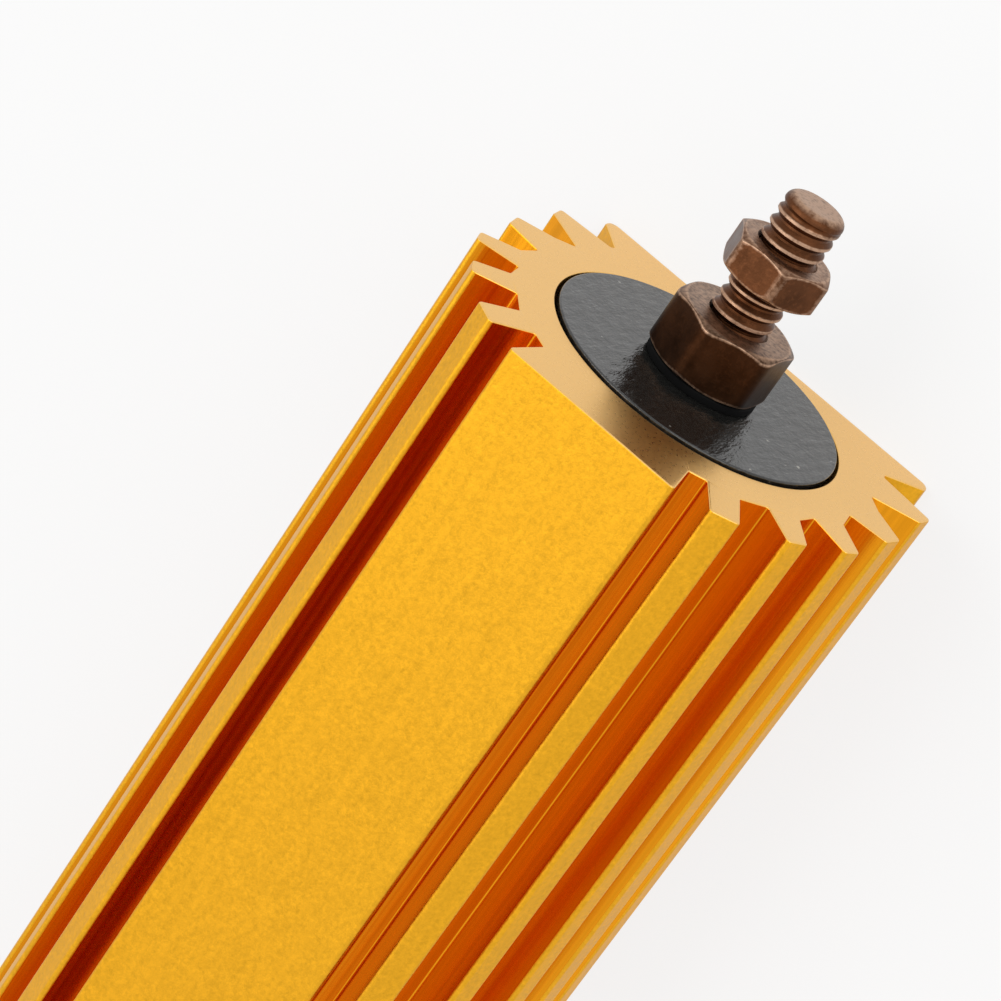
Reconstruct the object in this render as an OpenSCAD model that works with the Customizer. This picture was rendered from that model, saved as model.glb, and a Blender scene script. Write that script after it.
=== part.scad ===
// Aluminium housed wirewound power resistor: a finned extruded body with a
// screw terminal sealed into each end of its bore.
// +X runs along the bore, +Z is up, and the base flat lies on Z = 0.

/* [Housing] */
// Length of the finned extrusion
body_length = 150; // [110:5:220]
// Diameter of the bore that holds the element
bore_diameter = 31.75; // [30:0.25:33]
// Metal between the bore and the bottoms of the grooves
bore_wall = 4.5; // [4:0.25:6]
// Metal between the bore and the base flat, at its thinnest
base_wall = 1.3; // [1:0.1:2.5]
// Half width of the plain flat along the top
top_flat_half_width = 10; // [9.5:0.25:10.5]
// Height of the top flat above the bottoms of the grooves
top_flat_rise = 3.2; // [2.5:0.1:4]
// Width taken off the top block's foot on each side
top_block_taper = 1.1; // [0.6:0.1:1.4]
// Distance of the fins' common centre below the bore's axis
fin_centre_drop = 5; // [4.5:0.25:5.5]
// Radius of the rounding on fin tips and outer corners
tip_round = 0.45; // [0.3:0.05:0.6]
// Radius of the rounding in the corners of the grooves
groove_round = 0.25; // [0.15:0.05:0.3]
// Half width of the base flat, to the sharp corner
base_half_width = 21; // [20.5:0.25:21.5]
// Height of the base's square edge, below its sloping shoulder
base_edge_height = 1.5; // [1.4:0.1:2]
// Radius of the rounding on the base's lower corners
base_round = 1; // [0.5:0.1:1.1]

/* [Mounting holes] */
// Distance between the tapped holes along the body
hole_spacing_x = 120; // [60:5:190]
// Distance between the tapped holes across the body
hole_spacing_y = 28; // [27:0.5:29]
// Tapping drill of the blind holes in the base
hole_diameter = 3.3; // [2.5:0.1:3.4]
// Full depth of the blind holes, above the drill's point
hole_depth = 5.5; // [4:0.5:6]

/* [Seals] */
// Clearance round the rim of each end seal
seal_gap = 0.35; // [0.2:0.05:0.6]
// Thickness of each end seal
seal_thickness = 3; // [2:0.5:5]
// Height of the seal's face above the end of the body
seal_proud = 0.3; // [0.1:0.1:1]
// Rounding of the seal's outer rim
seal_round = 0.2; // [0.1:0.05:0.3]

/* [Terminals] */
// Major diameter of the terminal studs
stud_diameter = 6.35; // [5:0.05:7]
// Depth to which the nuts' threads reach into the stud, its pitch cylinder
thread_mesh = 0.3; // [0.2:0.05:0.4]
// Length of stud above the seal's face
stud_reach = 20.5; // [20:0.1:30]
// Chamfer on the end of the stud
stud_chamfer = 0.9; // [0.5:0.1:1.2]
// Diameter of the insulating washer on the seal
washer_diameter = 12; // [11.5:0.1:16]
// Thickness of the insulating washer
washer_thickness = 0.8; // [0.6:0.1:2]
// Width across the flats of the large base nut
base_nut_flats = 11.7; // [10.5:0.1:12.2]
// Rounding of the large nut's worn corners
base_nut_round = 1.9; // [0.3:0.1:2.5]
// Height of the large base nut
base_nut_height = 6; // [4:0.1:6.5]
// Turn of the large base nut about the stud
base_nut_turn = 58; // [0:1:59]
// Height of the small nut's seat above the seal's face
terminal_nut_seat = 11.4; // [10.5:0.05:12.5]
// Width across the flats of the small terminal nut
terminal_nut_flats = 9.525; // [9:0.005:10.5]
// Rounding of the small nut's corners
terminal_nut_round = 0.6; // [0.3:0.1:1.5]
// Height of the small terminal nut
terminal_nut_height = 3.8; // [3:0.05:4.5]
// Turn of the small terminal nut about the stud
terminal_nut_turn = 26; // [0:1:59]
// Slope of the chamfers on the corners of both nuts
nut_chamfer_angle = 30; // [20:5:35]
// Share of a nut's half width that its flat end faces reach out to
nut_face_share = 0.98; // [0.9:0.01:1]

/* [Element] */
// Diameter of the ceramic core
core_diameter = 16; // [14:0.5:18]
// Diameter of the resistance wire
wire_diameter = 0.9; // [0.5:0.1:1]
// Bare core left between the winding and each end cap
winding_margin = 2; // [1:0.5:4]
// Wall of the end caps
cap_wall = 1.2; // [1.1:0.1:1.5]
// Length of core that each end cap grips
cap_grip = 8; // [5:1:10]
// Thickness of the stud's head inside the end cap
stud_head_thickness = 2; // [1.5:0.1:3]
// Clearance between each end cap and the back of its seal
cap_to_seal = 6; // [4:0.5:10]

/* [Hidden] */
$fn = 96;

// One row a fin: direction about the fins' centre, rise past the groove circle,
// width at the tip, width at the root, and lean of the tip's face.
FINS = [
  [60.6, 5.3, 3.2, 3.5, -7],
  [44.5, 4.6, 2.5, 3.6, -16],
  [29.4, 4.5, 2.1, 3.9, -9],
  [10.6, 4.0, 2.5, 5.4, 0],
  [-10.9, 5.6, 2.2, 6.0, 18]
];

bore_radius = bore_diameter / 2;
groove_radius = bore_radius + bore_wall;
bore_height = bore_radius + base_wall;
top_height = groove_radius + top_flat_rise;
top_foot_half_width = top_flat_half_width - top_block_taper;
fin_centre = [0, -fin_centre_drop];

half_length = body_length / 2;
seal_radius = bore_radius - seal_gap;
seal_face = half_length + seal_proud;
seal_back = seal_face - seal_thickness;
cap_face = seal_back - cap_to_seal;
head_face = cap_face - cap_wall;
core_end = head_face - stud_head_thickness;
cap_mouth = core_end - cap_grip;
winding_end = cap_mouth - winding_margin;
core_radius = core_diameter / 2;
cap_radius = core_radius + cap_wall;
winding_radius = core_radius + wire_diameter;
stud_radius = stud_diameter / 2;
pitch_radius = stud_radius - thread_mesh;
stud_tip = seal_face + stud_reach;
washer_face = seal_face + washer_thickness;
base_nut_top = washer_face + base_nut_height;
terminal_nut_base = seal_face + terminal_nut_seat;
terminal_nut_top = terminal_nut_base + terminal_nut_height;
// Length over which the meshed thread runs out above the terminal nut.
thread_runout = 0.5;
hole_radius = hole_diameter / 2;
// Distance that the chamfer cones run out past a nut's corners.
chamfer_overrun = 0.3;
// Half of a twist drill's usual point angle.
drill_half_angle = 59;
// Step from the lowest fin's foot in to the shoulder's foot, and down to it.
shoulder_step = [0.2, 0.6];
// Straight steps in the rounding of each corner of the section.
arc_steps = 4;
// Small overlap that makes cutting bodies run past the faces they cut.
cut = 1;

CEMENT_COLOR = [0.72, 0.70, 0.65];
CERAMIC_COLOR = [0.88, 0.86, 0.80];
GOLD_COLOR = [0.83, 0.55, 0.12];
BLACK_COLOR = [0.06, 0.06, 0.06];
BRONZE_COLOR = [0.30, 0.18, 0.11];
STEEL_COLOR = [0.62, 0.62, 0.62];
WIRE_COLOR = [0.45, 0.42, 0.40];

// ---- outline helpers -------------------------------------------------------

function polar(angle) = [cos(angle), sin(angle)];
function unit(v) = v / norm(v);
function turn_of(a, b) = a[0] * b[1] - a[1] * b[0];
function mirrored(points) =
  [for (i = [len(points) - 1:-1:0]) [-points[i][0], points[i][1], points[i][2]]];

// Distance along a fin's line from the fins' centre to the groove circle.
function root_reach(angle) =
  fin_centre_drop * sin(angle)
  + sqrt(pow(groove_radius, 2) - pow(fin_centre_drop * cos(angle), 2));

// Corner of a fin: side is +1 on the upper flank and -1 on the lower one.
function root_corner(fin, side) =
  fin_centre + root_reach(fin[0]) * polar(fin[0])
  + side * fin[3] / 2 * polar(fin[0] + 90);
function tip_corner(fin, side) =
  fin_centre + (root_reach(fin[0]) + fin[1]) * polar(fin[0])
  + side * fin[2] / 2 * polar(fin[0] + 90 + fin[4]);

function rounded(point, radius) = [point[0], point[1], radius];

// Shoulder's foot: the last groove's bottom, a little below the lowest fin.
shoulder_foot = root_corner(FINS[len(FINS) - 1], -1) - shoulder_step;

// Right half of the section from the top flat down to the base, as corners
// with a rounding radius each.
half_outline = concat(
  [
    [top_flat_half_width, top_height, tip_round],
    [top_foot_half_width, sqrt(pow(groove_radius, 2) - pow(top_foot_half_width, 2)),
      groove_round]
  ],
  [for (fin = FINS) each [
    rounded(root_corner(fin, 1), groove_round),
    rounded(tip_corner(fin, 1), tip_round),
    rounded(tip_corner(fin, -1), tip_round),
    rounded(root_corner(fin, -1), groove_round)
  ]],
  [
    rounded(shoulder_foot, groove_round),
    [base_half_width, -bore_height + base_edge_height, tip_round],
    [base_half_width, -bore_height, base_round]
  ]
);
outline = concat(half_outline, mirrored(half_outline));

function at(i) = outline[(i + len(outline)) % len(outline)];
function corner(i) = [at(i)[0], at(i)[1]];
function to_last(i) = unit(corner(i - 1) - corner(i));
function to_next(i) = unit(corner(i + 1) - corner(i));
// Half of the angle between the two edges that meet at a corner.
function half_angle(i) = acos(to_last(i) * to_next(i)) / 2;
function arc_centre(i) =
  corner(i) + at(i)[2] / sin(half_angle(i)) * unit(to_last(i) + to_next(i));
function tangent_point(i, direction) =
  corner(i) + at(i)[2] / tan(half_angle(i)) * direction;

// Points along the rounding of one corner, from its first edge to its second.
function arc_points(i) =
  let(
    centre = arc_centre(i),
    first = tangent_point(i, to_last(i)) - centre,
    last = tangent_point(i, to_next(i)) - centre,
    start = atan2(first[1], first[0]),
    sweep = atan2(turn_of(first, last), first * last)
  )
  [for (k = [0:arc_steps]) centre + at(i)[2] * polar(start + sweep * k / arc_steps)];

module rounded_outline() {
  polygon([for (i = [0:len(outline) - 1]) each arc_points(i)]);
}

// ---- placing helpers -------------------------------------------------------

// Carries a body drawn along +Z onto the bore's axis, pointing along +X.
module on_axis(x = 0) {
  translate([x, 0, bore_height]) rotate([0, 90, 0]) children();
}

// The same piece at the other end of the body.
module rear() {
  mirror([1, 0, 0]) children();
}

// Hexagon with its corners rounded, one corner on +X.
module rounded_hexagon(flats, corner_round) {
  arc_reach = (flats / 2 - corner_round) / cos(30);
  polygon([for (k = [0:5], j = [0:arc_steps])
    arc_reach * polar(60 * k) + corner_round * polar(60 * (k + j / arc_steps) - 30)]);
}

// Hexagonal nut along +Z: flats cut back at both ends by cones.
module hex_nut(flats, corner_round, height, turn, bore) {
  face_radius = nut_face_share * flats / 2;
  cone_radius = flats / sqrt(3) + chamfer_overrun;
  drop = (cone_radius - face_radius) * tan(nut_chamfer_angle);
  difference() {
    intersection() {
      rotate([0, 0, turn]) linear_extrude(height = height)
        rounded_hexagon(flats, corner_round);
      rotate_extrude() polygon([
        [0, 0], [face_radius, 0], [cone_radius, drop],
        [cone_radius, height - drop], [face_radius, height], [0, height]
      ]);
    }
    translate([0, 0, -cut]) cylinder(r = bore, h = height + 2 * cut);
  }
}

// ---- pieces ----------------------------------------------------------------

module mounting_hole() {
  cylinder(r = hole_radius, h = hole_depth);
  translate([0, 0, hole_depth])
    cylinder(r1 = hole_radius, r2 = 0, h = hole_radius / tan(drill_half_angle));
  translate([0, 0, -cut]) cylinder(r = hole_radius, h = cut);
}

module housing() color(GOLD_COLOR) {
  difference() {
    translate([-half_length, 0, bore_height]) rotate([90, 0, 90])
      linear_extrude(height = body_length) difference() {
        rounded_outline();
        circle(r = bore_radius);
      }
    for (x = [-1, 1], y = [-1, 1])
      translate([x * hole_spacing_x / 2, y * hole_spacing_y / 2, 0]) mounting_hole();
  }
}

module ceramic_core() color(CERAMIC_COLOR)
  on_axis(-core_end) cylinder(r = core_radius, h = 2 * core_end);

module resistance_winding() color(WIRE_COLOR)
  on_axis(-winding_end) difference() {
    cylinder(r = winding_radius, h = 2 * winding_end);
    translate([0, 0, -cut]) cylinder(r = core_radius, h = 2 * (winding_end + cut));
  }

module end_cap() color(STEEL_COLOR)
  on_axis() rotate_extrude() polygon([
    [core_radius, cap_mouth], [cap_radius, cap_mouth], [cap_radius, cap_face],
    [stud_radius, cap_face], [stud_radius, head_face], [core_radius, head_face]
  ]);

// The stud is its major diameter where it is free, and its pitch diameter
// where a nut's thread is meshed with its own.
module terminal_stud() color(BRONZE_COLOR)
  on_axis() rotate_extrude() polygon([
    [0, core_end], [core_radius, core_end], [core_radius, head_face],
    [stud_radius, head_face], [stud_radius, washer_face],
    [pitch_radius, washer_face], [pitch_radius, base_nut_top],
    [stud_radius, base_nut_top], [stud_radius, terminal_nut_base],
    [pitch_radius, terminal_nut_base],
    [pitch_radius, terminal_nut_top + thread_runout],
    [stud_radius, terminal_nut_top + thread_runout],
    [stud_radius, stud_tip - stud_chamfer],
    [stud_radius - stud_chamfer, stud_tip], [0, stud_tip]
  ]);

// Fills the bore from seal to seal round the element.
module cement_filler() color(CEMENT_COLOR)
  on_axis() rotate_extrude() polygon([
    [winding_radius, 0], [bore_radius, 0], [bore_radius, seal_back],
    [stud_radius, seal_back], [stud_radius, cap_face], [cap_radius, cap_face],
    [cap_radius, cap_mouth], [core_radius, cap_mouth], [core_radius, winding_end],
    [winding_radius, winding_end], [winding_radius, -winding_end],
    [core_radius, -winding_end], [core_radius, -cap_mouth],
    [cap_radius, -cap_mouth], [cap_radius, -cap_face], [stud_radius, -cap_face],
    [stud_radius, -seal_back], [bore_radius, -seal_back]
  ]);

module end_seal() color(BLACK_COLOR)
  on_axis() rotate_extrude() polygon([
    [stud_radius, seal_back], [seal_radius, seal_back],
    [seal_radius, seal_face - seal_round], [seal_radius - seal_round, seal_face],
    [stud_radius, seal_face]
  ]);

module insulating_washer() color(BLACK_COLOR)
  on_axis(seal_face) difference() {
    cylinder(d = washer_diameter, h = washer_thickness);
    translate([0, 0, -cut]) cylinder(r = stud_radius, h = washer_thickness + 2 * cut);
  }

module base_nut() color(BRONZE_COLOR)
  on_axis(washer_face)
    hex_nut(base_nut_flats, base_nut_round, base_nut_height, base_nut_turn,
      pitch_radius);

module terminal_nut() color(BRONZE_COLOR)
  on_axis(terminal_nut_base)
    hex_nut(terminal_nut_flats, terminal_nut_round, terminal_nut_height,
      terminal_nut_turn, pitch_radius);

module end_cap_front() end_cap();
module end_cap_rear() rear() end_cap();
module terminal_stud_front() terminal_stud();
module terminal_stud_rear() rear() terminal_stud();
module end_seal_front() end_seal();
module end_seal_rear() rear() end_seal();
module insulating_washer_front() insulating_washer();
module insulating_washer_rear() rear() insulating_washer();
module base_nut_front() base_nut();
module base_nut_rear() rear() base_nut();
module terminal_nut_front() terminal_nut();
module terminal_nut_rear() rear() terminal_nut();

housing();
ceramic_core();
resistance_winding();
end_cap_front();
end_cap_rear();
terminal_stud_front();
terminal_stud_rear();
cement_filler();
end_seal_front();
end_seal_rear();
insulating_washer_front();
insulating_washer_rear();
base_nut_front();
base_nut_rear();
terminal_nut_front();
terminal_nut_rear();
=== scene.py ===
"""Aluminium housed power resistor: the dressed model, its stage and its camera."""

import math

import bmesh
import bpy
from bpy.props import (
    FloatProperty,
    FloatVectorProperty,
    IntProperty,
    PointerProperty,
)
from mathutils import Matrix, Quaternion, Vector


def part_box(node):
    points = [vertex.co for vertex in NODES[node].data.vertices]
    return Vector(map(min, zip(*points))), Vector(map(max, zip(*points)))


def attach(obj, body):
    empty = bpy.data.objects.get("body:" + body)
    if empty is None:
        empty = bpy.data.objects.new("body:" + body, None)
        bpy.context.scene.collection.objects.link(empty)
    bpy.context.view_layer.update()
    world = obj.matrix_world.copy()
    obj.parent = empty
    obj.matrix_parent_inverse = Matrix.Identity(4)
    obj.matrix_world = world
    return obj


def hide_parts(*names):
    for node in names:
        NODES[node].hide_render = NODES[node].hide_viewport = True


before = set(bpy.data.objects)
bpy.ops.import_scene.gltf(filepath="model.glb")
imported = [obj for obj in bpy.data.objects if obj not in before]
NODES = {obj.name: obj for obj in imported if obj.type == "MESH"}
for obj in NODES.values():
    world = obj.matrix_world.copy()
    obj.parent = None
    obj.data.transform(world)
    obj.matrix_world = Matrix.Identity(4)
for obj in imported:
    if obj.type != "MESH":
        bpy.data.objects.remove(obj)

bl_info = {
    "name": "Finned Power Resistor",
    "version": (1, 0, 0),
    "blender": (4, 5, 0),
    "location": "3D View > Sidebar > Resistor",
    "description": "Builds an aluminium housed power resistor with screw terminals",
    "category": "Add Mesh",
}

MM = 0.001
BODY = "root"

HOUSING_LOW, HOUSING_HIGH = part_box("housing")
SEAL_LOW, SEAL_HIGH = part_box("end_seal_front")
WASHER_LOW, WASHER_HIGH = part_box("insulating_washer_front")
BASE_NUT_LOW, BASE_NUT_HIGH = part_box("base_nut_front")
TERMINAL_NUT_LOW, TERMINAL_NUT_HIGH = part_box("terminal_nut_front")
STUD_LOW, STUD_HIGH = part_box("terminal_stud_front")
WINDING_LOW, WINDING_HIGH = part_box("resistance_winding")
CORE_LOW, CORE_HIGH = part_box("ceramic_core")

BORE_HEIGHT = (SEAL_LOW.z + SEAL_HIGH.z) / 2
BASE_WALL = 1.3 * MM
BORE_RADIUS = BORE_HEIGHT - BASE_WALL
STUD_RADIUS = 3.175 * MM

# One row a fin, as on the solid: direction about the fins' centre, rise past
# the groove circle, width at the tip, width at the root, and lean of the tip.
FINS = (
    (60.6, 5.3, 3.2, 3.5, -7.0),
    (44.5, 4.6, 2.5, 3.6, -16.0),
    (29.4, 4.5, 2.1, 3.9, -9.0),
    (10.6, 4.0, 2.5, 5.4, 0.0),
    (-10.9, 5.6, 2.2, 6.0, 18.0),
)


# ---------------------------------------------------------------------------
# Settings
# ---------------------------------------------------------------------------


class HousingSettings(bpy.types.PropertyGroup):
    length: FloatProperty(
        name="Length",
        description="Length of the finned extrusion along the bore",
        default=HOUSING_HIGH.x - HOUSING_LOW.x,
        subtype="DISTANCE",
    )
    bore_wall: FloatProperty(
        name="Bore Wall",
        description="Metal between the bore and the bottoms of the grooves",
        default=4.5 * MM,
        subtype="DISTANCE",
    )
    top_rise: FloatProperty(
        name="Top Flat Rise",
        description="Height of the top flat above the groove circle",
        default=3.2 * MM,
        subtype="DISTANCE",
    )
    tip_round: FloatProperty(
        name="Tip Rounding",
        description="Radius along the fin tips and the outer corners",
        default=0.45 * MM,
        subtype="DISTANCE",
    )
    groove_round: FloatProperty(
        name="Groove Rounding",
        description="Radius in the bottom corners of the grooves",
        default=0.25 * MM,
        subtype="DISTANCE",
    )
    edge_break: FloatProperty(
        name="Edge Break",
        description="Small rounding where the cut end meets the extruded faces",
        default=0.16 * MM,
        subtype="DISTANCE",
    )
    hole_radius: FloatProperty(
        name="Base Hole Radius",
        description="Radius of the four tapped holes in the base",
        default=1.65 * MM,
        subtype="DISTANCE",
    )
    hole_depth: FloatProperty(
        name="Base Hole Depth",
        description="Depth of the four tapped holes, above the drill's point",
        default=5.5 * MM,
        subtype="DISTANCE",
    )
    hole_spacing_x: FloatProperty(
        name="Hole Spacing Along",
        description="Distance between the base holes along the body",
        default=120 * MM,
        subtype="DISTANCE",
    )
    hole_spacing_y: FloatProperty(
        name="Hole Spacing Across",
        description="Distance between the base holes across the body",
        default=28 * MM,
        subtype="DISTANCE",
    )
    extruded_color: FloatVectorProperty(
        name="Extruded Colour",
        description="Gold of the anodised, blasted extruded faces",
        default=(0.76, 0.375, 0.018),
        subtype="COLOR",
        min=0.0,
        max=1.0,
    )
    # Deeper, more orange gold of the fin walls and groove floors: painted shade and painted reflection between the
    # fins.
    groove_shade_color: FloatVectorProperty(
        name="Groove Colour",
        description="Deeper gold of the smooth faces between the fins",
        default=(0.78, 0.30, 0.010),
        subtype="COLOR",
        min=0.0,
        max=1.0,
    )
    cut_color: FloatVectorProperty(
        name="Cut End Colour",
        description="Paler gold of the machined ends",
        default=(0.90, 0.54, 0.17),
        subtype="COLOR",
        min=0.0,
        max=1.0,
    )


class SealSettings(bpy.types.PropertyGroup):
    rim_round: FloatProperty(
        name="Rim Rounding",
        description="Rounding of the seal's rim",
        default=0.2 * MM,
        subtype="DISTANCE",
    )
    color: FloatVectorProperty(
        name="Seal Colour",
        description="Colour of the cast black compound",
        default=(0.012, 0.012, 0.011),
        subtype="COLOR",
        min=0.0,
        max=1.0,
    )
    # Near black: partly the washer's own black, partly painted shade under the large nut.
    washer_shade_color: FloatVectorProperty(
        name="Washer Colour",
        description="Colour of the moulded insulating washer",
        default=(0.003, 0.003, 0.003),
        subtype="COLOR",
        min=0.0,
        max=1.0,
    )


class TerminalSettings(bpy.types.PropertyGroup):
    pitch: FloatProperty(
        name="Thread Pitch",
        description="Distance from one thread to the next",
        default=1.41 * MM,
        subtype="DISTANCE",
    )
    root_radius: FloatProperty(
        name="Thread Root Radius",
        description="Radius at the bottom of the thread",
        default=2.76 * MM,
        subtype="DISTANCE",
    )
    chamfer: FloatProperty(
        name="Tip Rounding",
        description="Rounding of the end of the stud",
        default=0.9 * MM,
        subtype="DISTANCE",
    )
    base_nut_flats: FloatProperty(
        name="Base Nut Flats",
        description="Width across the flats of the large nut",
        default=11.7 * MM,
        subtype="DISTANCE",
    )
    base_nut_turn: FloatProperty(
        name="Base Nut Turn",
        description="Turn of the large nut about the stud",
        default=math.radians(58),
        subtype="ANGLE",
    )
    terminal_nut_flats: FloatProperty(
        name="Terminal Nut Flats",
        description="Width across the flats of the small nut",
        default=9.525 * MM,
        subtype="DISTANCE",
    )
    terminal_nut_turn: FloatProperty(
        name="Terminal Nut Turn",
        description="Turn of the small nut about the stud",
        default=math.radians(26),
        subtype="ANGLE",
    )
    nut_chamfer: FloatProperty(
        name="Nut Chamfer",
        description="Slope of the rounded-off corners of the nuts",
        default=math.radians(30),
        subtype="ANGLE",
    )
    base_nut_round: FloatProperty(
        name="Base Nut Rounding",
        description="Rounding of the large nut's worn corners",
        default=1.9 * MM,
        subtype="DISTANCE",
    )
    terminal_nut_round: FloatProperty(
        name="Terminal Nut Rounding",
        description="Rounding of the small nut's corners",
        default=0.6 * MM,
        subtype="DISTANCE",
    )
    color: FloatVectorProperty(
        name="Terminal Colour",
        description="Colour of the darkened bronze plating",
        default=(0.095, 0.036, 0.015),
        subtype="COLOR",
        min=0.0,
        max=1.0,
    )
    # A darker copy of the terminal bronze for the large nut: painted shade where it sits low against the black seal.
    base_nut_shade_color: FloatVectorProperty(
        name="Base Nut Colour",
        description="Colour of the large nut's plating, darker than the rest",
        default=(0.036, 0.015, 0.007),
        subtype="COLOR",
        min=0.0,
        max=1.0,
    )
    # Pale colour on nut edges, end faces, thread crests and the stud's tip: partly rubbed plating, partly painted
    # highlight.
    worn_and_highlight_color: FloatVectorProperty(
        name="Worn Edge Colour",
        description="Colour where the plating is rubbed through on edges",
        default=(0.52, 0.33, 0.22),
        subtype="COLOR",
        min=0.0,
        max=1.0,
    )


class ElementSettings(bpy.types.PropertyGroup):
    wire_diameter: FloatProperty(
        name="Wire Diameter",
        description="Diameter of the resistance wire",
        default=0.86 * MM,
        subtype="DISTANCE",
    )
    turns: IntProperty(
        name="Turns",
        description="Number of turns of wire on the core",
        default=88,
        min=10,
        max=110,
    )


class StageSettings(bpy.types.PropertyGroup):
    camera_place: FloatVectorProperty(
        name="Camera Place",
        description="Where the camera stands",
        default=(0.19576, -0.07618, 0.31709),
        subtype="XYZ_LENGTH",
    )
    camera_aim: FloatVectorProperty(
        name="Camera Aim",
        description="Point the camera looks at",
        default=(0.05672, 0.00626, 0.02775),
        subtype="XYZ_LENGTH",
    )
    camera_roll: FloatProperty(
        name="Camera Roll",
        description="Turn of the camera about its line of sight",
        default=math.radians(111.41),
        subtype="ANGLE",
    )
    camera_lens: FloatProperty(
        name="Camera Lens",
        description="Focal length in millimetres on a 36 mm sensor",
        default=125.87,
        min=20.0,
        max=300.0,
    )
    floor_size: FloatProperty(
        name="Floor Size",
        description="Side of the square floor",
        default=6.0,
        subtype="DISTANCE",
    )


# ---------------------------------------------------------------------------
# Shared helpers
# ---------------------------------------------------------------------------


def add_object(name, mesh):
    """Links a finished mesh as an object at the origin."""
    piece = bpy.data.objects.new(name, mesh)
    bpy.context.scene.collection.objects.link(piece)
    return piece


def finish_piece(piece, slot, *nodes):
    """Hands a finished piece to the frame in place of its solids."""
    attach(piece, BODY)
    if nodes:
        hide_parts(*nodes)
    return piece


def shade(piece, angle=35.0):
    """Smooth shading with crisp edges and flat faces that stay flat."""
    for face in piece.data.polygons:
        face.use_smooth = True
    piece.data.set_sharp_from_angle(angle=math.radians(angle))
    keep = piece.modifiers.new("Flat Faces", "WEIGHTED_NORMAL")
    keep.keep_sharp = True
    keep.weight = 100


def mirror_to_rear(bm):
    """The same piece at the other end of the body."""
    for vert in bm.verts:
        vert.co.x = -vert.co.x
    bmesh.ops.reverse_faces(bm, faces=bm.faces)


def bm_to_mesh(bm, name):
    mesh = bpy.data.meshes.new(name)
    bm.to_mesh(mesh)
    bm.free()
    mesh.update()
    return mesh


def rounded_profile(points, steps=4):
    """Corner list of (x, radius, rounding) made a profile with round corners."""
    made = []
    count = len(points)
    for i, (x, r, rounding) in enumerate(points):
        here = Vector((x, r))
        if rounding <= 0 or i in (0, count - 1):
            made.append(here)
            continue
        last = (Vector(points[i - 1][:2]) - here).normalized()
        nxt = (Vector(points[i + 1][:2]) - here).normalized()
        half = last.angle(nxt) / 2
        reach = rounding / math.tan(half)
        centre = here + (last + nxt).normalized() * rounding / math.sin(half)
        start = here + last * reach - centre
        end = here + nxt * reach - centre
        sweep = math.atan2(start.x * end.y - start.y * end.x, start.dot(end))
        angle = math.atan2(start.y, start.x)
        for k in range(steps + 1):
            a = angle + sweep * k / steps
            made.append(centre + rounding * Vector((math.cos(a), math.sin(a))))
    return made


def lathe(bm, profile, segments=96, closed=True):
    """Turns a profile of (x, radius) about the bore's axis."""
    rings = []
    for x, r in profile:
        if r < 1e-7:
            rings.append([bm.verts.new((x, 0, BORE_HEIGHT))])
            continue
        rings.append(
            [
                bm.verts.new(
                    (
                        x,
                        r * math.cos(math.tau * k / segments),
                        BORE_HEIGHT + r * math.sin(math.tau * k / segments),
                    )
                )
                for k in range(segments)
            ]
        )
    pairs = list(zip(rings, rings[1:]))
    if closed:
        pairs.append((rings[-1], rings[0]))
    for a, b in pairs:
        if len(a) == 1 and len(b) == 1:
            continue
        for k in range(segments):
            j = (k + 1) % segments
            if len(a) == 1:
                bm.faces.new((a[0], b[j], b[k]))
            elif len(b) == 1:
                bm.faces.new((a[k], a[j], b[0]))
            else:
                bm.faces.new((a[k], a[j], b[j], b[k]))


def turned_piece(name, profile, material, slot, node, rear, segments=96):
    """A lathe-turned piece that stands for one CAD node."""
    bm = bmesh.new()
    lathe(bm, profile, segments)
    bmesh.ops.recalc_face_normals(bm, faces=bm.faces)
    if rear:
        mirror_to_rear(bm)
    piece = add_object(name, bm_to_mesh(bm, name))
    piece.data.materials.append(material)
    shade(piece)
    return finish_piece(piece, slot, node)


# ---------------------------------------------------------------------------
# Materials
# ---------------------------------------------------------------------------


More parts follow.
